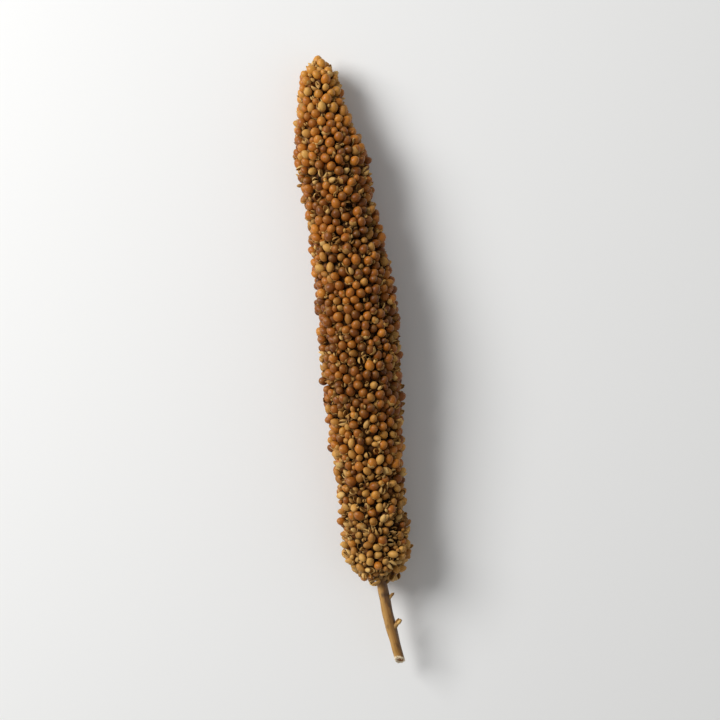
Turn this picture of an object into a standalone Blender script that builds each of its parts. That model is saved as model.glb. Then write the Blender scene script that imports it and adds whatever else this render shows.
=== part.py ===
"""A dried millet seed head, cut with a short stalk and laid on its side.

The tip points along +Y, the cut stalk along -Y, and the head rests on the plane z = 0. It has three pieces:
the spike of ripe grains, the pale unripe spikelets at its foot, and the stalk, held in the foot.
Lengths here are in millimetres, and stations are measured along the head from its tip.
"""

import math
import random

import bmesh
import bpy
import numpy as np
from mathutils import Matrix, Vector

MM = 0.001

# The head's length and the places along it
TIP_Y = 70.0
HEAD_LENGTH = 122.0
PALE_FROM = 104.0
STALK_FROM = 112.0
STALK_END = 140.0
TIP_ROUNDING = 6.0
FOOT_ROUNDING = 9.0

# The middle line: station, x and height. The head bows a little and lies with its underside flattened.
MIDDLE_LINE = np.array((
    (0.0, -0.50, 6.0),
    (12.0, -1.10, 6.6),
    (30.0, 0.00, 8.0),
    (55.0, 0.85, 8.9),
    (75.0, -0.20, 8.8),
    (95.0, -1.20, 8.2),
    (115.0, -1.90, 7.8),
    (125.0, -1.60, 7.6),
    (140.0, 0.00, 6.8),
))

# The radius over the grains: station and radius, before the two ends are rounded off.
OUTER_RADIUS = np.array((
    (0.0, 4.0),
    (11.0, 6.0),
    (21.0, 8.5),
    (35.0, 8.6),
    (62.0, 9.8),
    (82.0, 9.3),
    (102.0, 8.1),
    (113.0, 8.4),
    (122.0, 8.2),
))

# The grains are modelled larger than life, and each stands on a cell of the surface.
GRAIN_PITCH = 3.30
SPIKELET_PITCH = 2.90
JITTER = 0.13  # of the pitch
GOLDEN_ANGLE = math.pi * (3 - math.sqrt(5))
END_MARGIN = 0.02
SPINDLE_RADIUS = 10.0
AREA_STEPS = 2000

# How far a grain's top stands over the outer radius, and how far its shoulder and the crevice lie below
LOWEST_TOP, HIGHEST_TOP = -0.32, 0.16
SHOULDER_DEPTH = 0.22
CREVICE_DEPTH = 1.45
CREVICE_SHARE = 0.26  # of the head's radius, where that is the smaller depth

# Low lobes, where side branches bunch the grains: how many go round, and radians per millimetre along
LOBE_HEIGHT = 0.30
LOBE_SPIRALS = ((5, 0.62), (-8, 0.55))

# The stalk: station and radius
STALK_RADII = ((112.0, 1.25), (122.0, 1.20), (130.5, 1.26), (135.5, 1.14), (140.0, 1.14))
STALK_STEPS = 12
STALK_BEVEL = 3

# Broken branchlets: station, angle round the stalk in degrees, length and base radius
BRANCHLETS = ((125.6, 10.0, 1.3, 0.50), (132.2, 35.0, 2.1, 0.60))
BRANCHLET_SIDES = 7
BRANCHLET_TAPER = 0.6
BRANCHLET_LEAN = 0.9
BRANCHLET_ROOT = 0.7

# Clear space between the stalk and its socket, and between the two colours of the head
GAP = 0.3
COLOUR_GAP = 0.5

WELD = 0.01
CREASE_ANGLE = math.radians(50)
SEED = 7


def smooth_value(table, station):
    """The value at a station of a smooth curve through the rows of a table."""
    stations, values = table[:, 0], table[:, 1:]
    slopes = np.gradient(values, stations, axis=0)
    i = int(np.clip(np.searchsorted(stations, station) - 1, 0, len(stations) - 2))
    span = stations[i + 1] - stations[i]
    u = (station - stations[i]) / span
    return (
        (1 + 2 * u) * (1 - u) ** 2 * values[i]
        + u * (1 - u) ** 2 * span * slopes[i]
        + u * u * (3 - 2 * u) * values[i + 1]
        + u * u * (u - 1) * span * slopes[i + 1]
    )


def outer_radius(station):
    """The head's radius over the tops of its grains, rounded off at the tip and at the foot."""
    radius = float(smooth_value(OUTER_RADIUS, station)[0])
    from_tip = min(station / TIP_ROUNDING, 1.0)
    from_foot = min((HEAD_LENGTH - station) / FOOT_ROUNDING, 1.0)
    for share in (from_tip, from_foot):
        radius *= math.sqrt(max(1 - (1 - share) ** 2, 0.0))
    return radius


def middle_point(station):
    """The point of the middle line at a station."""
    x, height = smooth_value(MIDDLE_LINE, station)
    return Vector((x, TIP_Y - station, height))


def lobe_height(point):
    """How far the surface swells or sinks where side branches bunch the grains."""
    station = TIP_Y - point.y
    across = point - middle_point(station)
    angle = math.atan2(across.z, across.x)
    waves = (math.cos(count * angle + pitch * station) for count, pitch in LOBE_SPIRALS)
    return LOBE_HEIGHT * sum(waves)


def grain_sites(rng):
    """Station and angle of each grain, on a golden-angle spiral that spreads them evenly, a little shaken."""
    stations = np.linspace(0, HEAD_LENGTH, AREA_STEPS)
    radii = np.array([outer_radius(s) for s in stations])
    rings = math.pi * (radii[1:] + radii[:-1]) * np.hypot(np.diff(stations), np.diff(radii))
    pitches = np.where(stations[1:] < PALE_FROM, GRAIN_PITCH, SPIKELET_PITCH)
    cells = np.cumsum(rings / (pitches**2 * math.sin(math.radians(60))))
    sites = []
    for i in range(int(cells[-1])):
        station = float(np.interp(i + 0.5, cells, stations[1:]))
        pitch = GRAIN_PITCH if station < PALE_FROM else SPIKELET_PITCH
        shake = JITTER * pitch
        radius = max(outer_radius(station), pitch)
        shaken = station + rng.uniform(-shake, shake)
        angle = i * GOLDEN_ANGLE + rng.uniform(-shake, shake) / radius
        sites.append((min(max(shaken, END_MARGIN), HEAD_LENGTH - END_MARGIN), angle))
    return sites


def spindle_point(station, angle):
    """A site on a plain rounded spindle, on which every site stands out."""
    half = HEAD_LENGTH / 2
    radius = SPINDLE_RADIUS * math.sqrt(1 - ((station - half) / half) ** 2)
    return Vector((radius * math.cos(angle), station, radius * math.sin(angle)))


def surface_point(station, angle):
    """The point over the grain tops at a station and an angle round the middle line."""
    across = Vector((math.cos(angle), 0, math.sin(angle)))
    return middle_point(station) + across * outer_radius(station)


def even_triangles(sites):
    """The sites joined into a closed mesh of even triangles that follows the head's outer surface."""
    bm = bmesh.new()
    is_peak = bm.verts.layers.float.new("is_peak")
    for site in sites:
        bm.verts.new(spindle_point(*site))[is_peak] = 1.0
    bmesh.ops.convex_hull(bm, input=bm.verts)
    for vert in bm.verts:
        vert.co = surface_point(vert.co.y, math.atan2(vert.co.z, vert.co.x))
    bmesh.ops.beautify_fill(bm, faces=bm.faces, edges=bm.edges, method="AREA")
    bmesh.ops.recalc_face_normals(bm, faces=bm.faces)
    return bm, is_peak


def grain_cells(sites):
    """The even mesh cut anew: each site is its own cell's peak, ringed by shoulder and crevice points."""
    bm, is_peak = even_triangles(sites)
    peaks = list(bm.verts)
    between_peaks = list(bm.edges)
    for crevice in bmesh.ops.poke(bm, faces=bm.faces)["verts"]:
        crevice[is_peak] = 0.0
    bmesh.ops.rotate_edges(bm, edges=between_peaks)
    for peak in peaks:
        for face in peak.link_faces:
            face.material_index = int(peak.co.y < TIP_Y - PALE_FROM)
    spokes = [e for e in bm.edges if e.verts[0][is_peak] != e.verts[1][is_peak]]
    bmesh.ops.subdivide_edges(bm, edges=spokes, cuts=1)
    return bm, [v for v in bm.verts if v[is_peak] == 1.0]


def head_surface(rng):
    """The whole head's surface, its ripe part with material index 0 and its pale foot with 1."""
    bm, peaks = grain_cells(grain_sites(rng))
    rises = {}
    for peak in sorted(peaks, key=lambda v: v.co.y):
        rises[peak] = rng.uniform(LOWEST_TOP, HIGHEST_TOP)
        for edge in peak.link_edges:
            rises[edge.other_vert(peak)] = rises[peak] - SHOULDER_DEPTH
    bm.normal_update()
    for vert in bm.verts:
        crevice = -min(CREVICE_DEPTH, CREVICE_SHARE * outer_radius(TIP_Y - vert.co.y))
        vert.co += vert.normal * (rises.get(vert, crevice) + lobe_height(vert.co))
    for vert in bm.verts:
        vert.co.z = max(vert.co.z, 0.0)
    bmesh.ops.triangulate(bm, faces=bm.faces)
    return bm


def part_of_head(surface, index, rim_shift):
    """The cells of one colour as a closed body, with its open rim drawn in to the middle line."""
    bm = surface.copy()
    others = [f for f in bm.faces if f.material_index != index]
    bmesh.ops.delete(bm, geom=others, context="FACES")
    rim = [e for e in bm.edges if e.is_boundary]
    cap = bmesh.ops.holes_fill(bm, edges=rim, sides=0)["faces"]
    centre = bmesh.ops.poke(bm, faces=cap)["verts"][0]
    centre.co = middle_point(PALE_FROM)
    bmesh.ops.recalc_face_normals(bm, faces=bm.faces)
    for face in bm.faces:
        face.material_index = 0
    bmesh.ops.translate(bm, verts=bm.verts, vec=(0, -rim_shift, 0))
    bmesh.ops.scale(bm, verts=bm.verts, vec=(MM, MM, MM))
    return bm


def new_object(name, mesh, material, collection):
    """A named object with its material, shaded round with sharp creases."""
    mesh.name = name
    mesh.materials.clear()
    mesh.materials.append(material)
    mesh.shade_smooth()
    mesh.set_sharp_from_angle(angle=CREASE_ANGLE)
    obj = bpy.data.objects.new(name, mesh)
    collection.objects.link(obj)
    return obj


def object_from_bmesh(name, bm, material, collection):
    """A named object whose mesh is the bmesh, which is freed."""
    mesh = bpy.data.meshes.new(name)
    bm.to_mesh(mesh)
    bm.free()
    return new_object(name, mesh, material, collection)


def stalk_tube(name, extra_radius, first, collection):
    """A closed tube along the middle line, from a station to the cut end."""
    curve = bpy.data.curves.new(name, "CURVE")
    curve.dimensions = "3D"
    curve.bevel_depth = MM
    curve.bevel_resolution = STALK_BEVEL
    curve.use_fill_caps = True
    spline = curve.splines.new("POLY")
    spline.points.add(STALK_STEPS)
    radii = np.array(STALK_RADII)
    for i, point in enumerate(spline.points):
        station = first + (STALK_END - first) * i / STALK_STEPS
        point.co = (*(middle_point(station) * MM), 1)
        point.radius = float(smooth_value(radii, station)[0]) + extra_radius
    tube = bpy.data.objects.new(name, curve)
    collection.objects.link(tube)
    bpy.context.view_layer.update()
    graph = bpy.context.evaluated_depsgraph_get()
    mesh = bpy.data.meshes.new_from_object(tube.evaluated_get(graph))
    mesh.transform(tube.matrix_world)
    bpy.data.objects.remove(tube)
    bm = bmesh.new()
    bm.from_mesh(mesh)
    bmesh.ops.remove_doubles(bm, verts=bm.verts, dist=WELD * MM)
    bm.to_mesh(mesh)
    bm.free()
    return mesh


def branchlet(name, station, degrees, length, radius, collection):
    """A broken side branch: a short blunt cone that leans towards the tip, its root inside the stalk."""
    angle = math.radians(degrees)
    out = Vector((math.cos(angle), BRANCHLET_LEAN, math.sin(angle))).normalized()
    whole = BRANCHLET_ROOT + length
    bm = bmesh.new()
    bmesh.ops.create_cone(
        bm,
        cap_ends=True,
        segments=BRANCHLET_SIDES,
        radius1=radius * MM,
        radius2=BRANCHLET_TAPER * radius * MM,
        depth=whole * MM,
    )
    turn = out.to_track_quat("Z", "Y").to_matrix().to_4x4()
    place = Matrix.Translation((middle_point(station) + out * (BRANCHLET_ROOT + whole / 2)) * MM)
    bmesh.ops.transform(bm, matrix=place @ turn, verts=bm.verts)
    mesh = bpy.data.meshes.new(name)
    bm.to_mesh(mesh)
    bm.free()
    obj = bpy.data.objects.new(name, mesh)
    collection.objects.link(obj)
    return obj


def add_boolean(obj, operation, collection):
    """Joins or cuts obj with every object of a collection."""
    boolean = obj.modifiers.new(operation.lower(), "BOOLEAN")
    boolean.operation = operation
    boolean.operand_type = "COLLECTION"
    boolean.collection = collection
    boolean.solver = "EXACT"


def apply_modifiers(obj):
    """Keeps what the modifiers make as the object's own mesh."""
    graph = bpy.context.evaluated_depsgraph_get()
    mesh = bpy.data.meshes.new_from_object(obj.evaluated_get(graph))
    obj.modifiers.clear()
    obj.data = mesh


def build_stalk(material, collection):
    """The cut stalk with its broken branchlets joined on."""
    stalk = new_object("stalk", stalk_tube("stalk", 0.0, STALK_FROM, collection), material, collection)
    stubs = bpy.data.collections.new("branchlets")
    bpy.context.scene.collection.children.link(stubs)
    for i, row in enumerate(BRANCHLETS):
        branchlet(f"branchlet_{i}", *row, stubs)
    add_boolean(stalk, "UNION", stubs)
    bpy.context.view_layer.update()
    apply_modifiers(stalk)
    for obj in list(stubs.objects):
        bpy.data.objects.remove(obj)
    bpy.data.collections.remove(stubs)
    return stalk


def socket_cutter(collection):
    """The space that the stalk's upper end takes in the foot, with a gap all round."""
    mesh = stalk_tube("stalk_socket", GAP, STALK_FROM - GAP, collection)
    cutter = bpy.data.objects.new("stalk_socket", mesh)
    collection.objects.link(cutter)
    cutter.hide_render = True
    cutter.display_type = "WIRE"
    return cutter


def finish(name, colour, roughness):
    """A Principled material."""
    material = bpy.data.materials.new(name)
    material.use_nodes = True
    material.diffuse_color = (*colour, 1)
    shader = material.node_tree.nodes["Principled BSDF"]
    shader.inputs["Base Color"].default_value = (*colour, 1)
    shader.inputs["Roughness"].default_value = roughness
    shader.inputs["Metallic"].default_value = 0.0
    return material


def new_collection(name):
    collection = bpy.data.collections.new(name)
    bpy.context.scene.collection.children.link(collection)
    return collection


def main():
    for obj in list(bpy.data.objects):
        bpy.data.objects.remove(obj)
    parts = new_collection("millet_seed_head")
    cutters = new_collection("cutters")

    ripe = finish("ripe_grain", (0.33, 0.115, 0.032), 0.5)
    pale = finish("pale_husk", (0.45, 0.26, 0.095), 0.7)
    straw = finish("dry_stalk", (0.40, 0.24, 0.10), 0.75)

    surface = head_surface(random.Random(SEED))
    object_from_bmesh("grain_head", part_of_head(surface, 0, 0.0), ripe, parts)
    foot = object_from_bmesh("foot_spikelets", part_of_head(surface, 1, COLOUR_GAP), pale, parts)
    surface.free()
    build_stalk(straw, parts)
    socket_cutter(cutters)
    add_boolean(foot, "DIFFERENCE", cutters)


main()
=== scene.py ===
"""A dried millet seed head laid on its side, dressed grain by grain over its solids.

The tip points along +Y and the cut stalk along -Y. Lengths are in millimetres until a piece is finished.
Stations are measured along the head from its tip.
"""

import collections
import math

import bmesh
import bpy
import numpy as np
from mathutils import Matrix, Vector, kdtree, noise


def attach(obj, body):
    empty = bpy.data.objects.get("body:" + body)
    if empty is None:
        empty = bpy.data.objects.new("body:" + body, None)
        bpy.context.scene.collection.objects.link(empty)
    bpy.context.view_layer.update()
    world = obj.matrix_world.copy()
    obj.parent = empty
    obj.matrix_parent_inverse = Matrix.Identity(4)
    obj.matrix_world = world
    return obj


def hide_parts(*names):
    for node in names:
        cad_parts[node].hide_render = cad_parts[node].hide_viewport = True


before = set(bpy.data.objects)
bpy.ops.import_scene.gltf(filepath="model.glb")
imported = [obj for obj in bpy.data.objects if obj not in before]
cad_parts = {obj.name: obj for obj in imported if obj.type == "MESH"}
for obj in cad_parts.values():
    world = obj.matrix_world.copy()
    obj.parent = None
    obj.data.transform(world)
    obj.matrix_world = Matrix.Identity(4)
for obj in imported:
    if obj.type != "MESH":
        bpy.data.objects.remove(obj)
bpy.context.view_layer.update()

MM = 0.001
SEED = 11

# The head's length and the places along it, as in the solids
TIP_Y = 70.0
HEAD_LENGTH = 122.0
PALE_FROM = 104.0
STALK_FROM = 112.0
STALK_END = 140.0
TIP_ROUNDING = 6.0
FOOT_ROUNDING = 9.0

# The middle line: station, x and height over the floor
MIDDLE_LINE = np.array((
    (0.0, -0.50, 6.0),
    (12.0, -1.10, 6.6),
    (30.0, 0.00, 8.0),
    (55.0, 0.85, 8.9),
    (75.0, -0.20, 8.8),
    (95.0, -1.20, 8.2),
    (115.0, -1.90, 7.8),
    (125.0, -1.60, 7.6),
    (140.0, 0.00, 6.8),
))

# The radius over the grains: station and radius, before the two ends are rounded off
OUTER_RADIUS = np.array((
    (0.0, 4.0),
    (11.0, 6.0),
    (21.0, 8.5),
    (35.0, 8.6),
    (62.0, 9.8),
    (82.0, 9.3),
    (102.0, 8.1),
    (113.0, 8.4),
    (122.0, 8.2),
))

# Short side branches carry the grains in low lobes: station, and the depth of the dips between them
LOBE_DEPTHS = ((0.0, 0.15), (12.0, 0.60), (25.0, 1.05), (95.0, 1.05), (108.0, 1.30))
LOBE_SPACING = 4.6
LOBE_TRIES = 6000
LOBE_REACH = 3.0  # from a lobe's middle to where the dip is deepest

# Layers of grains, the outermost first: depth below the skin, radius, and how many are tried
Layer = collections.namedtuple("Layer", "depths radii tries")
LAYERS = (
    Layer((-0.40, 0.00), (1.02, 1.22), 12000),
    Layer((-0.35, 0.15), (0.86, 1.02), 22000),
    Layer((-0.20, 0.40), (0.66, 0.84), 20000),
    Layer((0.00, 0.80), (0.46, 0.64), 20000),
    Layer((1.10, 1.80), (0.62, 0.80), 16000),
    Layer((2.10, 2.70), (0.68, 0.85), 10000),
)
GRAIN_SIZE = ((92.0, 1.0), (110.0, 0.92))  # station and share: they are a little smaller at the foot
SHADE_DEPTH = 2.6  # where a grain's painted shade is darkest
DIP_SHADE = 0.5  # the painted shade of a dip between lobes, counted with a grain's own depth
CLOSENESS = 0.88  # of the distance at which two grains just touch
CELL = 2.3  # of the grid that finds a grain's neighbours, wider than the largest two stand apart
HIDDEN_BELOW = 1.05  # a spot sunk deeper has a plain grain
SMALL_RADIUS = 0.70
SMALL_HUSK_SHARE = 0.6  # of the spots smaller than that
FLOOR_ROOM = 0.28  # of a grain's radius
SKIN_STEPS = 1000

# One grain stands alone at the very tip: station and radius
TIP_GRAIN = (0.65, 1.08)

# Ripe grains among the pale ones of the foot, the last over the stalk's top: station, angle and radius
FOOT_RIPE_GRAINS = ((104.8, 117.0, 1.12), (104.4, 54.0, 1.08), (111.0, 78.0, 1.05), (117.0, 92.0, 1.08))

# On the upper side of the foot the stalk's top is bare: where that starts, and how fast it widens
BARE_FROM = 118.2
BARE_SLOPE = 0.45

# Where the head is unripe: station and share
PALE_SHARE = (
    (0.0, 0.60),
    (12.0, 0.34),
    (28.0, 0.15),
    (78.0, 0.17),
    (88.0, 0.38),
    (102.0, 0.76),
    (112.0, 0.90),
    (122.0, 0.94),
)
PATCH_SIZE = 4.0
PATCH_STRENGTH = 0.38

# Of what is unripe, how much is empty husks: station and share
HUSK_SHARE = ((88.0, 0.30), (110.0, 0.48))

# Tones run from dark at 0 to pale at 1. Both ends are lighter, as painted light: by how much, and how
# soon that fades
TIP_PAINTED_LIGHT = (0.78, 16.0)
FOOT_PAINTED_LIGHT = (0.38, 18.0)

# Ripe grains: the mean and spread of their tone, a step lighter past a station, and a few golden ones
RIPE_TONE = (0.35, 0.17)
LIGHTER_FROM = 84.0
LIGHTER_BY = 0.12
GOLDEN_SHARE = 0.10
GOLDEN_BY = 0.30
UNRIPE_TONES = (0.0, 1.0)
HIDDEN_TONES = (0.1, 0.5)
HUSK_TONE = 0.5
SCALE_TONE_SPREAD = 0.5

# Proportions to a spot's radius, the last along the grain, and how much each varies
RIPE_SHAPE = (0.98, 0.94, 1.14)
UNRIPE_SHAPE = (0.84, 0.78, 1.16)
HIDDEN_SHAPE = (1.40, 1.40, 1.40)
HUSK_SHAPE = (0.76, 0.68, 1.12)
LOOSE_HUSK_SHAPE = (0.80, 0.80, 1.20)
VARIATION = (0.94, 1.06)

# How things stand on the head: their lean towards the tip, and how far they scatter from it
GRAIN_LEAN = 0.7
GRAIN_SCATTER = 0.4
UNRIPE_SCATTER = 0.6
HUSK_LEAN = 0.5
HUSK_SCATTER = 0.5

# The share by which a round shape narrows at its top
KERNEL_POINT = 0.18
HUSK_POINT = 0.32

# The scales of an empty husk, the back one smaller and less open, with angles in radians
SCALE_WALL = 0.08
HUSK_GAPE = (0.25, 0.75)
BACK_GAPE = 0.6
BACK_WIDTH = 0.92
BACK_LENGTH = (0.75, 1.0)

# The scale that some grains keep against their side, in proportion to the kernel
CLASP_SHARE = 0.50
CLASP_GAPE = (0.0, 0.22)
CLASP_WIDTH = 1.12
CLASP_LENGTH = (0.95, 1.20)
CLASP_CUTS = ((0.42, (0, 0.6, 0.8)), (0.42, (0, -0.6, 0.8)))

# Loose husks on thin stems that stand a little over the head
STRAYS = 46
STRAY_RISE = (0.1, 0.55)
STRAY_DEPTH = 0.9
STRAY_LEAN = (0.2, 1.2)
STRAY_SCATTER = 0.2
STRAY_SIZE = (0.42, 0.62)
STRAY_TONES = (0.2, 1.0)
STRAY_ROOT = 2.4
STRAY_RADII = (0.17, 0.13)
STRAY_ROOM = 4.0  # between a loose husk and the floor

# Curved stems get thinner by a share of their radius, and their rods overlap
STEM_TAPER = 0.55
STEM_OVERLAP = 0.08

# The foot's branchlets: station, angle round the head in degrees, length and base radius
FOOT_BRANCHES = (
    (119.9, 91.0, 6.2, 0.58),
    (121.6, 172.0, 4.6, 0.42),
    (120.2, 118.0, 5.4, 0.48),
    (120.6, 52.0, 5.2, 0.46),
    (121.4, 8.0, 4.4, 0.40),
    (120.5, 300.0, 5.0, 0.44),
    (121.0, 240.0, 5.0, 0.44),
)
BRANCH_OUT = 0.5  # from the middle line to a branchlet's root
BRANCH_LEANS = (0.5, 1.6)  # towards the tip, at the root and at the end

# The foot's thin twigs
FOOT_TWIGS = 22
TWIG_REGION = (PALE_FROM + 1, 113.5)
TWIG_DEPTH = (0.7, 1.6)
TWIG_LENGTH = 4.5
TWIG_RADIUS = (0.11, 0.18)
TWIG_LEAN = 1.3
TWIG_SCATTER = 0.25
TWIG_BEND = 0.45
TWIG_ROOM = 2.5  # between a twig's end and the floor

# The stalk: station and radius, with ribs along it and a slanted cut
STALK_RADII = np.array(((111.0, 1.25), (122.0, 1.20), (130.5, 1.26), (135.5, 1.14), (140.0, 1.14)))
STALK_SIDES = 40
STALK_RINGS = 70
RIBS = 11
RIB_DEPTH = 0.022
RIB_TWIST = 0.02
DENT_DEPTH = 0.10
DENT_STRETCH = 0.3
SLANT = 0.75
SLANT_TURN = 0.3
SLANT_FROM = 136.5
RAGGED = 0.45
RAGGED_TEETH = 1.7
RIM_WIDTH = 0.26
PITH_EDGE = 0.08
PITH_DEPTH = 0.25

# Fibres left standing at the cut: where they start and how far round they go, in half turns
FIBRES = 26
FIBRE_ARC = (0.35, 0.95)
FIBRE_SCATTER = 0.1
FIBRE_INSET = (0.04, 0.16)
FIBRE_LEAN = 0.25
FIBRE_ROOT = 0.4
FIBRE_RADII = (0.05, 0.02)
FIBRE_LENGTH = (0.08, 0.38)

# The scar beside the first broken branchlet, as the finish sees it: across, station and up
SCAR = (0.25, 123.8, 1.0)

# Stations between which the stalk's stains fade out, and its frayed edge sets in
STAIN_FADE = (132.0, 119.0)
FRAYED_EDGE = (139.2, 139.5)

# Broken branchlets: station, angle round the stalk in degrees, length and base radius
BRANCHLETS = ((125.6, 10.0, 1.3, 0.50), (132.2, 35.0, 2.1, 0.60))
BRANCHLET_LEAN = 0.9
BRANCHLET_ROOT = 0.7
BRANCHLET_START = 0.3
BRANCHLET_WIDENING = 1.15
BRANCHLET_TAPER = 0.6

# The first branchlet's worn scale and the second one's bud: how far back from the end, and radius
WORN_SCALE = (0.3, 0.55)
WORN_TONE = 0.2
WORN_SHADE = 0.3
WORN_SCATTER = 0.3
BUD = (0.5, 0.66)
BUD_SHAPE = (0.62, 0.62, 1.15)
BUD_SCALE_SIZES = (1.20, 1.15, 1.10)
BUD_SCALES = ((0.3, 0.55), (2.6, 0.40), (4.4, 0.70))  # angle round the bud, and how far open

# The heart: its depth below the grain tops, its least radius, where it starts and ends, and its dents
HEART_DEPTH = 2.55
HEART_LEAST = 0.5
HEART_FROM = 2.5
HEART_END = 117.0
HEART_STEP = 1.0
HEART_SIDES = 20
HEART_DENTS = 0.4
HEART_DENTS_ROUND = 3
HEART_DENTS_ALONG = 0.5

# The photograph's view of the head: its lean, and the width of what the picture takes in
HEAD_LEAN = math.radians(7.6)
VIEW_WIDTH = 164.0
LENS = 120.0
SENSOR = 36.0

# Lights in metres and watts: place, size and power, and the point that they face
KEY_LIGHT = ((-0.47, 0.32, 0.46), 0.38, 5.7)
FILL_LIGHT = ((0.45, -0.15, 0.45), 0.6, 0.25)
LIGHT_TARGET = (0, 0, 0.01)
ROOM_LIGHT = 0.26
FLOOR_REACH = 2.0


def smooth_values(table, stations):
    """Values at some stations of a smooth curve through the rows of a table."""
    known, values = table[:, 0], table[:, 1:]
    slopes = np.gradient(values, known, axis=0)
    i = np.clip(np.searchsorted(known, stations) - 1, 0, len(known) - 2)
    span = (known[i + 1] - known[i])[:, None]
    u = (stations - known[i])[:, None] / span
    return (
        (1 + 2 * u) * (1 - u) ** 2 * values[i]
        + u * (1 - u) ** 2 * span * slopes[i]
        + u * u * (3 - 2 * u) * values[i + 1]
        + u * u * (u - 1) * span * slopes[i + 1]
    )


def at_stations(table, stations):
    """Values at some stations on straight lines between the rows of a table."""
    return np.interp(stations, *zip(*table))


def outer_radii(stations):
    """The head's radius over the tops of its grains, rounded off at the tip and at the foot."""
    radii = smooth_values(OUTER_RADIUS, stations)[:, 0]
    for share in (stations / TIP_ROUNDING, (HEAD_LENGTH - stations) / FOOT_ROUNDING):
        radii = radii * np.sqrt(1 - (1 - np.clip(share, 0, 1)) ** 2)
    return radii


def middle_points(stations):
    """The points of the middle line at some stations."""
    x, height = smooth_values(MIDDLE_LINE, stations).T
    return np.stack((x, TIP_Y - stations, height), axis=1)


def middle_point(station):
    return Vector(middle_points(np.array((station,)))[0])


def skin(stations, angles):
    """The points over the grain tops at some stations and angles, and which way is out there."""
    step = 0.05
    across = np.stack((np.cos(angles), np.zeros(len(angles)), np.sin(angles)), axis=1)
    slopes = (outer_radii(stations + step) - outer_radii(stations - step)) / (2 * step)
    outward = across + slopes[:, None] * (0, 1, 0)
    outward /= np.linalg.norm(outward, axis=1)[:, None]
    return middle_points(stations) + across * outer_radii(stations)[:, None], outward


def spread_over_skin(rng, count):
    """Stations and angles that fall evenly on the head's surface."""
    stations = np.linspace(0, HEAD_LENGTH, SKIN_STEPS)
    radii = outer_radii(stations)
    rings = (radii[1:] + radii[:-1]) * np.hypot(np.diff(stations), np.diff(radii))
    shares = np.concatenate(((0,), np.cumsum(rings)))
    return np.interp(rng.random(count) * shares[-1], shares, stations), rng.random(count) * math.tau


class Crowd:
    """Round things already in place, kept by cell, so that a newcomer only meets its neighbours."""

    def __init__(self, cell):
        self.cell = cell
        self.members = collections.defaultdict(list)

    def home(self, point):
        return tuple(math.floor(value / self.cell) for value in point)

    def neighbours(self, point):
        i, j, k = self.home(point)
        for di in (-1, 0, 1):
            for dj in (-1, 0, 1):
                for dk in (-1, 0, 1):
                    yield from self.members.get((i + di, j + dj, k + dk), ())

    def takes(self, point, radius):
        """Adds a round thing if it has room, and says whether it had."""
        x, y, z = point
        for ox, oy, oz, other in self.neighbours(point):
            if (x - ox) ** 2 + (y - oy) ** 2 + (z - oz) ** 2 < (CLOSENESS * (radius + other)) ** 2:
                return False
        self.members[self.home(point)].append((x, y, z, radius))
        return True


def lobe_centres(rng):
    """Where the side branches end, on the skin."""
    points, _ = skin(*spread_over_skin(rng, LOBE_TRIES))
    crowd = Crowd(LOBE_SPACING)
    radius = LOBE_SPACING / 2 / CLOSENESS
    centres = [point for point in points if crowd.takes(point, radius)]
    tree = kdtree.KDTree(len(centres))
    for i, centre in enumerate(centres):
        tree.insert(centre, i)
    tree.balance()
    return tree


Spot = collections.namedtuple("Spot", "point outward station radius sunk shade ripe", defaults=(False,))


def on_bare_stalk(point, station):
    """Whether a grain would hide the stalk's bare top, on the upper side of the foot."""
    middle = middle_point(station)
    width = BARE_SLOPE * (station - BARE_FROM)
    return station > BARE_FROM and point[2] > middle.z and abs(point[0] - middle.x) < width


def chosen_spots():
    """The places of the grains that are given one by one."""
    station, radius = TIP_GRAIN
    spots = [Spot(middle_point(station), Vector((0, 1, 0)), station, radius, 0.0, 0.0, True)]
    for station, degrees, radius in FOOT_RIPE_GRAINS:
        points, outward = skin(np.array((station,)), np.radians((degrees,)))
        out = Vector(outward[0])
        spots.append(Spot(Vector(points[0]) - out * radius, out, station, radius, 0.0, 0.0, True))
    return spots


def settled_spots(rng):
    """Places for every grain and husk: round spots dropped into layers under the lobed skin."""
    lobes = lobe_centres(rng)
    crowd = Crowd(CELL)
    spots = chosen_spots()
    for spot in spots:
        crowd.takes(spot.point, spot.radius)
    for layer in LAYERS:
        stations, angles = spread_over_skin(rng, layer.tries)
        radii = rng.uniform(*layer.radii, layer.tries) * at_stations(GRAIN_SIZE, stations)
        sunk = rng.uniform(*layer.depths, layer.tries)
        points, outward = skin(stations, angles)
        gaps = np.array([lobes.find(point)[2] for point in points])
        dips = at_stations(LOBE_DEPTHS, stations) * np.minimum(gaps / LOBE_REACH, 1) ** 2
        # Painted shade: each grain is darkened by how deep it sits and by the dip of its lobe
        shades = np.clip((sunk + DIP_SHADE * dips) / SHADE_DEPTH, 0, 1)
        depths = radii + sunk + dips
        points -= outward * depths[:, None]
        points[:, 2] = np.maximum(points[:, 2], np.maximum(depths, radii) + FLOOR_ROOM * radii)
        for i, point in enumerate(points.tolist()):
            if not on_bare_stalk(point, stations[i]) and crowd.takes(point, radii[i]):
                out = Vector(outward[i])
                spots.append(Spot(Vector(point), out, stations[i], radii[i], sunk[i], shades[i]))
    return spots


def new_shape():
    """An empty bmesh with the layers that the finishes read."""
    bm = bmesh.new()
    place = bm.verts.layers.float_vector.new("place")
    bm.verts.layers.float.new("tone")
    bm.verts.layers.float.new("shade")
    return bm, place


def kept_shape(bm):
    """The bmesh as a mesh to copy from."""
    mesh = bpy.data.meshes.new("shape")
    bm.to_mesh(mesh)
    bm.free()
    return mesh


def narrow_top(bm, place, share):
    """Keeps where each point of a round shape was, and draws its upper half in to a blunt point."""
    for vert in bm.verts:
        vert[place] = vert.co
        narrowing = 1 - share * max(vert.co.z, 0) ** 2
        vert.co.x *= narrowing
        vert.co.y *= narrowing


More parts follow.
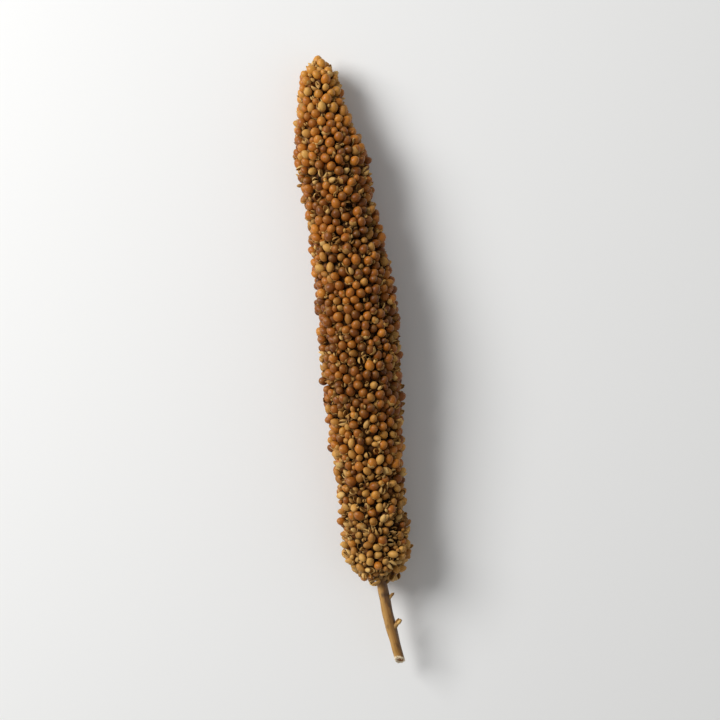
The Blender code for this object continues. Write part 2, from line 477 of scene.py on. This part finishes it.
def kernel_shape(sides, rings):
    """A kernel of radius 1 with a blunt point at its top."""
    bm, place = new_shape()
    bmesh.ops.create_uvsphere(bm, u_segments=sides, v_segments=rings, radius=1.0)
    narrow_top(bm, place, KERNEL_POINT)
    return kept_shape(bm)


def scale_shape(rings, point, cuts):
    """A papery scale of radius 1: a thin shell, hollow towards +X, cut out of a round shape."""
    bm, place = new_shape()
    bmesh.ops.create_uvsphere(bm, u_segments=8, v_segments=rings, radius=1.0)
    for where, side in ((0.0, (1, 0, 0)), *cuts):
        bmesh.ops.bisect_plane(
            bm,
            geom=bm.verts[:] + bm.edges[:] + bm.faces[:],
            dist=0.001,
            plane_co=Vector(side) * where,
            plane_no=side,
            clear_outer=True,
        )
    narrow_top(bm, place, point)
    bmesh.ops.recalc_face_normals(bm, faces=bm.faces)
    bmesh.ops.solidify(bm, geom=bm.faces[:], thickness=SCALE_WALL)
    return kept_shape(bm)


def all_shapes():
    """What the head is made of. A clasping scale is cut to a point and fits round a kernel's side."""
    return {
        "kernel": kernel_shape(10, 6),
        "hidden": kernel_shape(7, 4),
        "scale": scale_shape(5, HUSK_POINT, ()),
        "clasp": scale_shape(6, KERNEL_POINT, CLASP_CUTS),
    }


Copy = collections.namedtuple("Copy", "shape matrix tone shade")


def gathered(copies):
    """One bmesh with every copy in place, each with its own tone and the painted shade of its depth for
    its finish to read.
    """
    bm = bmesh.new()
    placed = 0
    for copy in copies:
        bm.from_mesh(copy.shape)
        bm.verts.ensure_lookup_table()
        tone = bm.verts.layers.float["tone"]
        shade = bm.verts.layers.float["shade"]
        for vert in bm.verts[placed:]:
            vert.co = copy.matrix @ vert.co
            vert[tone] = copy.tone
            vert[shade] = copy.shade
        placed = len(bm.verts)
    return bm


def finished_piece(name, bm, materials, slot, *nodes):
    """The bmesh as a piece of the head, in metres, that stands for some of its solids."""
    bmesh.ops.scale(bm, verts=bm.verts, vec=(MM, MM, MM))
    mesh = bpy.data.meshes.new(name)
    bm.to_mesh(mesh)
    bm.free()
    mesh.shade_smooth()
    for material in materials:
        mesh.materials.append(material)
    piece = bpy.data.objects.new(name, mesh)
    bpy.context.scene.collection.objects.link(piece)
    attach(piece, "root")
    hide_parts(*nodes)


def pale_share(spot):
    """How likely a spot is unripe: by its station, and in patches."""
    patch = noise.noise(spot.point / PATCH_SIZE)
    return float(at_stations(PALE_SHARE, spot.station)) + PATCH_STRENGTH * patch


def turned(rng, up, scatter):
    """A rotation that stands a shape up along a direction, more or less, and turns it at random."""
    up = up + Vector(rng.normal(0, scatter, 3))
    spin = Matrix.Rotation(rng.uniform(0, math.tau), 4, "Z")
    return up.to_track_quat("Z", "Y").to_matrix().to_4x4() @ spin


def spot_copy(rng, spot, shape, proportions, tone, lean=GRAIN_LEAN, scatter=GRAIN_SCATTER):
    """A copy of a shape at a spot, leaning towards the tip, with its proportions varied a little."""
    sizes = [spot.radius * share * rng.uniform(*VARIATION) for share in proportions]
    turn = turned(rng, spot.outward + Vector((0, lean, 0)), scatter)
    place = Matrix.Translation(spot.point) @ turn @ Matrix.Diagonal((*sizes, 1))
    return Copy(shape, place, tone, spot.shade)


def scale_against(rng, body, shape, turn, gape, sizes):
    """A scale against the side of a body, hinged at its root and opened by an angle."""
    spin = Matrix.Rotation(turn, 4, "Z")
    hinge = Matrix.Translation((0, 0, -1))
    opened = hinge @ Matrix.Rotation(-gape, 4, "Y") @ Matrix.Diagonal((*sizes, 1)) @ hinge.inverted()
    tone = body.tone + rng.uniform(-SCALE_TONE_SPREAD, SCALE_TONE_SPREAD)
    return Copy(shape, body.matrix @ spin @ opened, tone, body.shade)


def painted_end_light(station):
    """How much painted light lifts everything at the tip, and half as much at the foot."""
    tip, tip_fade = TIP_PAINTED_LIGHT
    foot, foot_fade = FOOT_PAINTED_LIGHT
    return tip * math.exp(-station / tip_fade) + foot * math.exp((station - HEAD_LENGTH) / foot_fade)


def ripe_tone(rng, station):
    """From dark red-brown at 0 to golden at 1: lighter at the tip and towards the foot by painted light.
    """
    tone = rng.normal(*RIPE_TONE) + painted_end_light(station)
    if station > LIGHTER_FROM:
        tone += LIGHTER_BY
    if rng.random() < GOLDEN_SHARE:
        tone += GOLDEN_BY
    return min(max(tone, 0.0), 1.0)


def empty_husk(rng, spot, shapes):
    """Two scales that gape where their grain has gone."""
    tone = HUSK_TONE + painted_end_light(spot.station)
    body = spot_copy(rng, spot, shapes["scale"], HUSK_SHAPE, tone, HUSK_LEAN, HUSK_SCATTER)
    gape = rng.uniform(*HUSK_GAPE)
    front = scale_against(rng, body, shapes["scale"], 0, gape, (1, 1, 1))
    back_sizes = (BACK_WIDTH, BACK_WIDTH, rng.uniform(*BACK_LENGTH))
    back = scale_against(rng, body, shapes["scale"], math.pi, BACK_GAPE * gape, back_sizes)
    return [("scales", front), ("scales", back)]


def dressed_spot(rng, spot, shapes):
    """What stands at a spot: the kind and the copy of each thing."""
    pale = rng.random() < pale_share(spot) and not spot.ripe
    small = spot.radius < SMALL_RADIUS and rng.random() < SMALL_HUSK_SHARE
    if spot.sunk > HIDDEN_BELOW:
        hidden = spot_copy(rng, spot, shapes["hidden"], HIDDEN_SHAPE, rng.uniform(*HIDDEN_TONES))
        return [("hidden_grains", hidden)]
    if small or (pale and rng.random() < at_stations(HUSK_SHARE, spot.station)):
        return empty_husk(rng, spot, shapes)
    if pale:
        tone = rng.uniform(*UNRIPE_TONES) + painted_end_light(spot.station)
        kernel = spot_copy(rng, spot, shapes["kernel"], UNRIPE_SHAPE, tone, scatter=UNRIPE_SCATTER)
        found = [("unripe_grains", kernel)]
    else:
        kernel = spot_copy(rng, spot, shapes["kernel"], RIPE_SHAPE, ripe_tone(rng, spot.station))
        found = [("ripe_grains", kernel)]
    if rng.random() < CLASP_SHARE:
        turn = rng.uniform(0, math.tau)
        sizes = (CLASP_WIDTH, CLASP_WIDTH, rng.uniform(*CLASP_LENGTH))
        clasp = scale_against(rng, kernel, shapes["clasp"], turn, rng.uniform(*CLASP_GAPE), sizes)
        found.append(("scales", clasp))
    return found


def add_rod(bm, start, end, first_radius, last_radius, sides):
    """A straight thin stem between two points."""
    along = end - start
    turn = along.to_track_quat("Z", "Y").to_matrix().to_4x4()
    bmesh.ops.create_cone(
        bm,
        cap_ends=True,
        segments=sides,
        radius1=first_radius,
        radius2=last_radius,
        depth=along.length,
        matrix=Matrix.Translation((start + end) / 2) @ turn,
    )


def add_curved_stem(bm, start, first, last, length, radius, steps=5):
    """A stem that bends from one direction to another, in short rods that overlap at their ends."""
    point = start
    for i in range(steps):
        direction = first.lerp(last, i / (steps - 1)).normalized()
        end = point + direction * length / steps
        radii = [radius * (1 - STEM_TAPER * (i + step) / steps) for step in (0, 1)]
        add_rod(bm, point - direction * STEM_OVERLAP, end, *radii, sides=8)
        point = end


def stray_husks(rng, shapes, stems):
    """Loose husks on thin stems that stand over the grains, and the stems added to a bmesh."""
    stations, angles = spread_over_skin(rng, STRAYS)
    points, outward = skin(stations, angles)
    copies = []
    for i in range(STRAYS):
        out = Vector(outward[i])
        tipward = Vector((0, rng.uniform(*STRAY_LEAN), 0))
        lean = (out + tipward + Vector(rng.normal(0, STRAY_SCATTER, 3))).normalized()
        husk = Vector(points[i]) + out * rng.uniform(*STRAY_RISE) - out * STRAY_DEPTH
        if husk.z < STRAY_ROOM or points[i][1] < TIP_Y - PALE_FROM:
            continue
        add_rod(stems, husk - lean * STRAY_ROOT, husk, *STRAY_RADII, sides=5)
        spot = Spot(husk, lean, stations[i], rng.uniform(*STRAY_SIZE), 0.0, 0.0)
        tone = rng.uniform(*STRAY_TONES)
        copies.append(spot_copy(rng, spot, shapes["scale"], LOOSE_HUSK_SHAPE, tone, 0, STRAY_SCATTER))
    return copies


def head_pieces(rng, shapes, finishes):
    """Every grain, scale and husk of the spike and of its pale foot."""
    heaps = collections.defaultdict(list)
    for spot in settled_spots(rng):
        part = "head" if spot.station < PALE_FROM else "foot"
        for kind, copy in dressed_spot(rng, spot, shapes):
            heaps[part, kind].append(copy)
    stems = bmesh.new()
    heaps["head", "scales"] += stray_husks(rng, shapes, stems)
    finished_piece("head_stems", stems, [finishes["stem"]], "pale_husk", "grain_head")
    nodes = {"head": "grain_head", "foot": "foot_spikelets"}
    slots = {"hidden_grains": "ripe_grain", "ripe_grains": "ripe_grain"}
    for (part, kind), copies in sorted(heaps.items()):
        slot = slots.get(kind, "pale_husk")
        finished_piece(f"{part}_{kind}", gathered(copies), [finishes[kind]], slot, nodes[part])


def foot_branch_pieces(rng, finishes):
    """The branchlets that fork from the stalk's top and carry the foot's grains, and their twigs."""
    bm = bmesh.new()
    tipward = Vector((0, 1, 0))
    for station, degrees, length, radius in FOOT_BRANCHES:
        angle = math.radians(degrees)
        across = Vector((math.cos(angle), 0, math.sin(angle)))
        start = middle_point(station) + across * BRANCH_OUT
        first, last = [across + tipward * lean for lean in BRANCH_LEANS]
        add_curved_stem(bm, start, first, last, length, radius)
    stations = rng.uniform(*TWIG_REGION, FOOT_TWIGS)
    angles = rng.uniform(0, math.tau, FOOT_TWIGS)
    points, outward = skin(stations, angles)
    for i in range(FOOT_TWIGS):
        out = Vector(outward[i])
        lean = (out + tipward * TWIG_LEAN + Vector(rng.normal(0, TWIG_SCATTER, 3))).normalized()
        root = Vector(points[i]) - out * rng.uniform(*TWIG_DEPTH) - lean * TWIG_LENGTH
        bent = (lean + Vector(rng.normal(0, TWIG_BEND, 3))).normalized()
        if points[i][2] > TWIG_ROOM:
            add_curved_stem(bm, root, lean, bent, TWIG_LENGTH, rng.uniform(*TWIG_RADIUS), 3)
    finished_piece("foot_branches", bm, [finishes["branchlet"]], "pale_husk", "foot_spikelets")


def tube(stations, sides, surface):
    """A closed tube and its last face: a circle extruded along the stations, onto a surface."""
    bm = bmesh.new()
    place = bm.verts.layers.float_vector.new("place")
    upright = Matrix.Rotation(math.radians(90), 3, "X")
    bmesh.ops.create_circle(bm, segments=sides, radius=1.0, matrix=upright.to_4x4())
    ring = list(bm.verts)
    edges = list(bm.edges)
    bmesh.ops.contextual_create(bm, geom=edges)
    for vert in ring:
        vert[place] = vert.co
    for i, station in enumerate(stations):
        if i:
            grown = bmesh.ops.extrude_edge_only(bm, edges=edges)["geom"]
            ring = [item for item in grown if isinstance(item, bmesh.types.BMVert)]
            edges = [item for item in grown if isinstance(item, bmesh.types.BMEdge)]
        for vert in ring:
            turn = math.atan2(vert[place].z, vert[place].x)
            vert.co = surface(station, turn)
            vert[place] = (math.cos(turn), station, math.sin(turn))
    end = bmesh.ops.contextual_create(bm, geom=edges)["faces"]
    bmesh.ops.recalc_face_normals(bm, faces=bm.faces)
    return bm, end


def stalk_surface(station, turn):
    """A point on the ribbed and dented stalk, whose cut end slants back on its upper side."""
    at = np.array((station,))
    radius = float(smooth_values(STALK_RADII, at)[0, 0])
    ribs = RIB_DEPTH * math.cos(RIBS * turn + RIB_TWIST * station)
    dents = DENT_DEPTH * noise.noise(Vector((math.cos(turn), math.sin(turn), DENT_STRETCH * station)))
    across = Vector((math.cos(turn), 0, math.sin(turn)))
    slant = SLANT * max(station - SLANT_FROM, 0) / (STALK_END - SLANT_FROM)
    offset = Vector((0, slant * (1 + math.sin(turn - SLANT_TURN)), 0))
    return middle_point(station) + across * radius * (1 + ribs + dents) + offset


def stalk_pieces(rng, finishes):
    """The cut stalk, its end hollowed round the pith, and the fibres that the cut left standing."""
    stations = np.linspace(STALK_FROM - 1, STALK_END, STALK_RINGS)
    bm, end = tube(stations, STALK_SIDES, stalk_surface)
    edge = list(end[0].verts)
    rim = bmesh.ops.inset_individual(bm, faces=end, thickness=RIM_WIDTH)["faces"]
    bmesh.ops.inset_individual(bm, faces=end, thickness=PITH_EDGE, depth=-PITH_DEPTH)
    for vert in edge:
        vert.co.y += RAGGED * noise.noise(vert.co * RAGGED_TEETH)
    for face in rim:
        face.material_index = 1
    for face in end:
        face.material_index = 2
    materials = [finishes["stalk"], finishes["cut_rim"], finishes["pith"]]
    finished_piece("cut_stalk", bm, materials, "dry_stalk", "stalk")

    fibres = bmesh.new()
    arc_start, arc = FIBRE_ARC
    for i in range(FIBRES):
        turn = math.pi * (arc_start + arc * i / FIBRES) + rng.normal(0, FIBRE_SCATTER)
        root = stalk_surface(STALK_END, turn).lerp(middle_point(STALK_END), rng.uniform(*FIBRE_INSET))
        lean = Vector((rng.normal(0, FIBRE_LEAN), -1, rng.normal(0, FIBRE_LEAN))).normalized()
        length = rng.uniform(*FIBRE_LENGTH)
        add_rod(fibres, root - lean * FIBRE_ROOT, root + lean * length, *FIBRE_RADII, sides=4)
    finished_piece("stalk_fibres", fibres, [finishes["cut_rim"]], "dry_stalk", "stalk")


def heart_surface(station, turn):
    """A point on the dark heart of the head, under its grains."""
    radius = max(float(outer_radii(np.array((station,)))[0]) - HEART_DEPTH, HEART_LEAST)
    x = HEART_DENTS_ROUND * math.cos(turn)
    y = HEART_DENTS_ROUND * math.sin(turn)
    dents = HEART_DENTS * noise.noise(Vector((x, y, HEART_DENTS_ALONG * station)))
    across = Vector((math.cos(turn), 0, math.sin(turn)))
    return middle_point(station) + across * (radius + dents)


def heart_pieces(finishes):
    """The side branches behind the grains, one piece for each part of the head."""
    for name, first, last, node in (
        ("head_heart", HEART_FROM, PALE_FROM, "grain_head"),
        ("foot_heart", PALE_FROM, HEART_END, "foot_spikelets"),
    ):
        bm, _ = tube(np.arange(first, last + HEART_STEP / 2, HEART_STEP), HEART_SIDES, heart_surface)
        finished_piece(name, bm, [finishes["heart"]], "ripe_grain", node)


def branchlet_pieces(rng, shapes, finishes):
    """The broken branchlets on the stalk, the first with a worn scale and the second with its husk."""
    bm = bmesh.new()
    ends = []
    for station, degrees, length, radius in BRANCHLETS:
        angle = math.radians(degrees)
        out = Vector((math.cos(angle), BRANCHLET_LEAN, math.sin(angle))).normalized()
        root = middle_point(station)
        end = root + out * (2 * BRANCHLET_ROOT + length)
        radii = (BRANCHLET_WIDENING * radius, BRANCHLET_TAPER * radius)
        add_rod(bm, root + out * BRANCHLET_START, end, *radii, sides=10)
        ends.append((end, out, station))
    finished_piece("broken_branchlets", bm, [finishes["branchlet"]], "dry_stalk", "stalk")

    end, out, station = ends[0]
    back, radius = WORN_SCALE
    spot = Spot(end - out * back, out, station, radius, 0.0, WORN_SHADE)
    scales = [spot_copy(rng, spot, shapes["scale"], LOOSE_HUSK_SHAPE, WORN_TONE, 0, WORN_SCATTER)]
    end, out, station = ends[1]
    back, radius = BUD
    spot = Spot(end - out * back, out, station, radius, 0.0, 0.0)
    bud = spot_copy(rng, spot, shapes["kernel"], BUD_SHAPE, HUSK_TONE, 0, 0)
    scales.append(bud)
    for turn, gape in BUD_SCALES:
        scales.append(scale_against(rng, bud, shapes["scale"], turn, gape, BUD_SCALE_SIZES))
    finished_piece("branchlet_husk", gathered(scales), [finishes["scales"]], "pale_husk", "stalk")


class Socket:
    """A shader node's output, on which sums are written as Python expressions."""

    def __init__(self, finish, output):
        self.finish = finish
        self.output = output

    def __add__(self, other):
        return self.finish.maths("ADD", self, other)

    def __sub__(self, other):
        return self.finish.maths("SUBTRACT", self, other)

    def __rsub__(self, other):
        return self.finish.maths("SUBTRACT", other, self)

    def __mul__(self, other):
        return self.finish.maths("MULTIPLY", self, other)

    __radd__ = __add__
    __rmul__ = __mul__


class Finish:
    """A material, with one method that adds its nodes."""

    def __init__(self, name, roughness, shine=0.3):
        self.material = bpy.data.materials.new(name)
        self.material.use_nodes = True
        self.tree = self.material.node_tree
        self.shader = self.tree.nodes["Principled BSDF"]
        self.shader.inputs["Roughness"].default_value = roughness
        self.shader.inputs["Specular IOR Level"].default_value = shine

    def node(self, kind, settings=None, sockets=None, output=0):
        """Adds a node, sets it, gives its sockets their values or links, and returns one output."""
        node = self.tree.nodes.new(kind)
        for name, value in (settings or {}).items():
            if name == "stops":
                self.fill_ramp(node.color_ramp, value)
            else:
                setattr(node, name, value)
        for name, value in (sockets or {}).items():
            self.feed(node.inputs[name], value)
        return Socket(self, node.outputs[output])

    def feed(self, socket, value):
        """Gives a socket a value or a link."""
        if isinstance(value, Socket):
            self.tree.links.new(value.output, socket)
        else:
            socket.default_value = value

    def fill_ramp(self, ramp, stops):
        """Gives a ramp its stops, each a position and a colour."""
        while len(ramp.elements) < len(stops):
            ramp.elements.new(1.0)
        for element, (position, colour) in zip(ramp.elements, stops):
            element.position = position
            element.color = (*colour, 1)

    def maths(self, operation, first, second):
        return self.node("ShaderNodeMath", {"operation": operation}, {0: first, 1: second})

    def attribute(self, name, output="Fac"):
        return self.node("ShaderNodeAttribute", {"attribute_name": name}, output=output)

    def ramp(self, value, stops):
        return self.node("ShaderNodeValToRGB", {"stops": stops}, {"Fac": value}, "Color")

    def rise(self, value, low, high):
        """0 below low and 1 above high, with a smooth step between."""
        span = {"Value": value, "From Min": low, "From Max": high}
        return self.node("ShaderNodeMapRange", {"interpolation_type": "SMOOTHSTEP"}, span)

    def mix(self, share, first, second):
        """One colour over another."""
        settings = {"data_type": "RGBA"}
        return self.node("ShaderNodeMix", settings, {0: share, 6: first, 7: second}, 2)

    def stretched(self, vector, factors):
        """A vector with each of its directions multiplied."""
        return self.node("ShaderNodeVectorMath", {"operation": "MULTIPLY"}, {0: vector, 1: factors})

    def distance(self, vector, point):
        """How far a vector is from a point."""
        settings = {"operation": "DISTANCE"}
        return self.node("ShaderNodeVectorMath", settings, {0: vector, 1: point}, "Value")

    def cells(self, scale):
        """How far a place is from the middle of its cell, in cells scattered through the piece."""
        sockets = {"Vector": self.position(), "Scale": scale}
        return self.node("ShaderNodeTexVoronoi", None, sockets, "Distance")

    def noise(self, vector, scale, detail=2.0):
        sockets = {"Vector": vector, "Scale": scale, "Detail": detail}
        return self.node("ShaderNodeTexNoise", None, sockets, "Fac")

    def position(self):
        return self.node("ShaderNodeTexCoord", output="Object")

    def along(self, vector, axis):
        return self.node("ShaderNodeSeparateXYZ", None, {0: vector}, axis)

    def bumped(self, height, distance):
        """Raises the surface by a height pattern, up to a distance in millimetres."""
        sockets = {"Height": height, "Distance": distance * MM, "Strength": 1.0}
        self.feed(self.shader.inputs["Normal"], self.node("ShaderNodeBump", None, sockets))

    def coloured(self, colour):
        self.feed(self.shader.inputs["Base Color"], colour)

    def roughened(self, value):
        self.feed(self.shader.inputs["Roughness"], value)


# Colours, and ramps of them from dark to pale
# Painted shade: the dark brown that grains and husks are mixed towards, the deeper they sit
PAINTED_SHADE_BROWN = (0.036, 0.0155, 0.0045, 1)
# Husk colour at a kernel's root, also used as a painted highlight at its paler point
HUSK_RIM_AND_HIGHLIGHT = (0.42, 0.22, 0.055, 1)

RIPE_STOPS = (
    (0.0, (0.110, 0.030, 0.003)),
    (0.28, (0.188, 0.053, 0.006)),
    (0.55, (0.345, 0.103, 0.010)),
    (0.80, (0.500, 0.172, 0.018)),
    (1.0, (0.570, 0.255, 0.038)),
)
UNRIPE_STOPS = (
    (0.0, (0.260, 0.094, 0.013)),
    (0.5, (0.465, 0.200, 0.034)),
    (1.0, (0.580, 0.305, 0.068)),
)
HUSK_STOPS = (
    (0.0, (0.250, 0.112, 0.022)),
    (0.5, (0.450, 0.230, 0.052)),
    (1.0, (0.660, 0.405, 0.130)),
)
STALK_STOPS = (
    (0.30, (0.170, 0.070, 0.013)),
    (0.50, (0.305, 0.142, 0.029)),
    (0.70, (0.470, 0.245, 0.058)),
)
# Painted light on the stalk's side towards the key light, and painted shade on its far side
STALK_PAINTED_LIT_SIDE = (0.58, 0.325, 0.092, 1)
STALK_PAINTED_SHADE_SIDE = (0.140, 0.066, 0.017, 1)
STALK_STAIN = (0.085, 0.034, 0.011, 1)
SCAR_BROWN = (0.045, 0.020, 0.008, 1)
FRAYED_STRAW = (0.86, 0.70, 0.46, 1)

PITH_DARK = (0.20, 0.065, 0.018, 1)
PITH_LIGHT = (0.46, 0.20, 0.062, 1)
PITH_DOT = (0.70, 0.52, 0.28, 1)

# Painted shade: the dark of the heart between the grains, and darker painted shadow in its seams
HEART_PAINTED_SHADE = (0.080, 0.033, 0.009, 1)
HEART_SEAM_PAINTED_SHADOW = (0.010, 0.0045, 0.0015, 1)

STEM_COLOURS = ((0.30, 0.15, 0.045), (0.50, 0.30, 0.11))
BRANCHLET_COLOURS = ((0.26, 0.13, 0.038), (0.50, 0.30, 0.105))
RIM_COLOURS = ((0.70, 0.52, 0.30), (0.90, 0.80, 0.62))
FLOOR_COLOUR = (0.88, 0.88, 0.87, 1)


def kernel_finish(name, stops, roughness, shine):
    """The skin of a kernel: its own tone, mottled and wrinkled, with a paler point that is partly a
    painted highlight, a dry root, and painted shade by its depth.
    """
    finish = Finish(name, roughness, shine)
    place = finish.attribute("place", "Vector")
    height = finish.along(place, "Z")
    mottle = finish.noise(finish.position(), 1500.0, 3.0)
    wrinkles = finish.noise(finish.stretched(place, (4.0, 4.0, 12.0)), 1.0)
    tone = finish.attribute("tone") + (mottle - 0.5) * 0.40 + (wrinkles - 0.5) * 0.25
    colour = finish.ramp(tone, stops)
    # The paler point is partly the hull's own colour and partly a painted highlight where the point
    # faces out towards the light
    colour = finish.mix(finish.rise(height, 0.45, 1.05) * 0.30, colour, HUSK_RIM_AND_HIGHLIGHT)
    clasp = finish.rise(height + (mottle - 0.5) * 0.5, -0.35, -0.6)
    colour = finish.mix(clasp * 0.5, colour, HUSK_RIM_AND_HIGHLIGHT)
    # Painted shade: the deeper a kernel sits, the more it is mixed towards dark brown
    colour = finish.mix(finish.attribute("shade") * 0.82, colour, PAINTED_SHADE_BROWN)
    finish.coloured(colour)
    finish.roughened(roughness + (mottle - 0.5) * 0.3)
    finish.bumped(mottle + wrinkles * 0.6, 0.05)
    return finish.material


def husk_finish():
    """Dry papery husk, with veins that run from its root to its mouth, and painted shade by its depth.
    """
    finish = Finish("papery_scale", 0.62)
    place = finish.attribute("place", "Vector")
    veins = finish.noise(finish.stretched(place, (6.0, 6.0, 0.8)), 1.0)
    colour = finish.ramp(finish.attribute("tone") + (veins - 0.5) * 0.7, HUSK_STOPS)
    # Painted shade: the deeper a husk sits, the more it is mixed towards dark brown
    colour = finish.mix(finish.attribute("shade") * 0.76, colour, PAINTED_SHADE_BROWN)
    finish.coloured(colour)
    finish.bumped(veins, 0.04)
    return finish.material


def stalk_finish():
    """Dry straw, paler on its lit side as painted light and darker on the other as painted shade:
    streaks, stains towards the head, a scar and a frayed cut.
    """
    finish = Finish("dry_stalk", 0.42, 0.45)
    place = finish.attribute("place", "Vector")
    streaks = finish.noise(finish.stretched(place, (4.0, 0.06, 4.0)), 1.0, 3.0)
    colour = finish.ramp(streaks, STALK_STOPS)
    # Painted light and shade: the side towards the key light is paler, the far side darker
    side = finish.along(place, "X") + (streaks - 0.5) * 1.5
    colour = finish.mix(finish.rise(side, 0.1, -0.8) * 0.60, colour, STALK_PAINTED_LIT_SIDE)
    colour = finish.mix(finish.rise(side, 0.0, 0.8) * 0.65, colour, STALK_PAINTED_SHADE_SIDE)
    blotches = finish.noise(finish.stretched(place, (0.9, 0.35, 0.9)), 1.0, 3.0)
    near_head = finish.rise(finish.along(place, "Y"), *STAIN_FADE)
    stain = finish.rise(blotches + near_head * 0.12, 0.53, 0.72)
    colour = finish.mix(stain * 0.75, colour, STALK_STAIN)
    scar = finish.rise(finish.distance(place, SCAR) + (blotches - 0.5) * 2.0, 1.0, 0.2)
    colour = finish.mix(scar * 0.8, colour, SCAR_BROWN)
    frayed = finish.rise(finish.along(place, "Y") + (streaks - 0.5) * 2.2, *FRAYED_EDGE)
    colour = finish.mix(frayed * 0.9, colour, FRAYED_STRAW)
    finish.coloured(colour)
    finish.bumped(streaks, 0.03)
    return finish.material


def pith_finish():
    """The red-brown pith inside the cut, with the pale dots of its fibres."""
    finish = Finish("cut_pith", 0.85)
    fibres = finish.cells(4500.0)
    colour = finish.mix(finish.noise(finish.position(), 2500.0), PITH_DARK, PITH_LIGHT)
    colour = finish.mix(finish.rise(fibres, 0.35, 0.1) * 0.6, colour, PITH_DOT)
    finish.coloured(colour)
    finish.bumped(fibres, 0.05)
    return finish.material


def heart_finish():
    """What lies deep between the grains, coloured as painted shade: small dark bumps, with darker
    painted shadow in the seams round them.
    """
    finish = Finish("packed_branches_painted_shade", 0.9, 0.1)
    bumps = finish.cells(620.0)
    seams = finish.rise(bumps, 0.15, 0.75)
    finish.coloured(finish.mix(seams, HEART_PAINTED_SHADE, HEART_SEAM_PAINTED_SHADOW))
    finish.bumped(1 - bumps, 0.9)
    return finish.material


def plain_finish(name, colours, scale, roughness):
    """Two close colours in fine mottling."""
    finish = Finish(name, roughness)
    dark, light = colours
    mottle = finish.noise(finish.position(), scale, 3.0)
    finish.coloured(finish.mix(mottle, (*dark, 1), (*light, 1)))
    finish.bumped(mottle, 0.08)
    return finish.material


def all_finishes():
    """A material for each kind of piece."""
    return {
        "ripe_grains": kernel_finish("ripe_grain", RIPE_STOPS, 0.37, 0.28),
        "hidden_grains": kernel_finish("shaded_grain", RIPE_STOPS, 0.6, 0.2),
        "unripe_grains": kernel_finish("unripe_grain", UNRIPE_STOPS, 0.50, 0.28),
        "scales": husk_finish(),
        "stem": plain_finish("thin_stem", STEM_COLOURS, 1200.0, 0.7),
        "heart": heart_finish(),
        "stalk": stalk_finish(),
        "branchlet": plain_finish("dry_branchlet", BRANCHLET_COLOURS, 1200.0, 0.7),
        "cut_rim": plain_finish("cut_rim", RIM_COLOURS, 2500.0, 0.8),
        "pith": pith_finish(),
    }


def lay_floor():
    """A plain pale floor."""
    bm = bmesh.new()
    bmesh.ops.create_grid(bm, x_segments=1, y_segments=1, size=FLOOR_REACH)
    mesh = bpy.data.meshes.new("floor")
    bm.to_mesh(mesh)
    bm.free()
    finish = Finish("pale_floor", 0.9)
    finish.coloured(FLOOR_COLOUR)
    mesh.materials.append(finish.material)
    floor = bpy.data.objects.new("floor", mesh)
    bpy.context.scene.collection.objects.link(floor)


def add_light(name, location, size, watts):
    """A soft square light that faces the head."""
    data = bpy.data.lights.new(name, "AREA")
    data.size = size
    data.energy = watts
    light = bpy.data.objects.new(name, data)
    light.location = location
    facing = Vector(LIGHT_TARGET) - Vector(location)
    light.rotation_euler = facing.to_track_quat("-Z", "Y").to_euler()
    bpy.context.scene.collection.objects.link(light)


def set_lights():
    """Soft studio light, strongest from the upper left of the picture."""
    world = bpy.data.worlds.new("studio")
    world.use_nodes = True
    background = world.node_tree.nodes["Background"]
    background.inputs["Color"].default_value = (1, 1, 1, 1)
    background.inputs["Strength"].default_value = ROOM_LIGHT
    bpy.context.scene.world = world
    add_light("key", *KEY_LIGHT)
    add_light("fill", *FILL_LIGHT)
    bpy.context.scene.view_settings.view_transform = "Standard"


def set_camera():
    """Looks straight down, turned so that the head leans as in the photograph."""
    data = bpy.data.cameras.new("camera")
    data.lens = LENS
    data.sensor_width = SENSOR
    camera = bpy.data.objects.new("camera", data)
    top = float(MIDDLE_LINE[:, 2].max())
    camera.location = (0, 0, (top + VIEW_WIDTH * LENS / SENSOR) * MM)
    camera.rotation_euler = (0, 0, -HEAD_LEAN)
    bpy.context.scene.collection.objects.link(camera)
    bpy.context.scene.camera = camera


set_camera()
rng = np.random.default_rng(SEED)
finishes = all_finishes()
shapes = all_shapes()
head_pieces(rng, shapes, finishes)
foot_branch_pieces(rng, finishes)
heart_pieces(finishes)
stalk_pieces(rng, finishes)
branchlet_pieces(rng, shapes, finishes)
lay_floor()
set_lights()
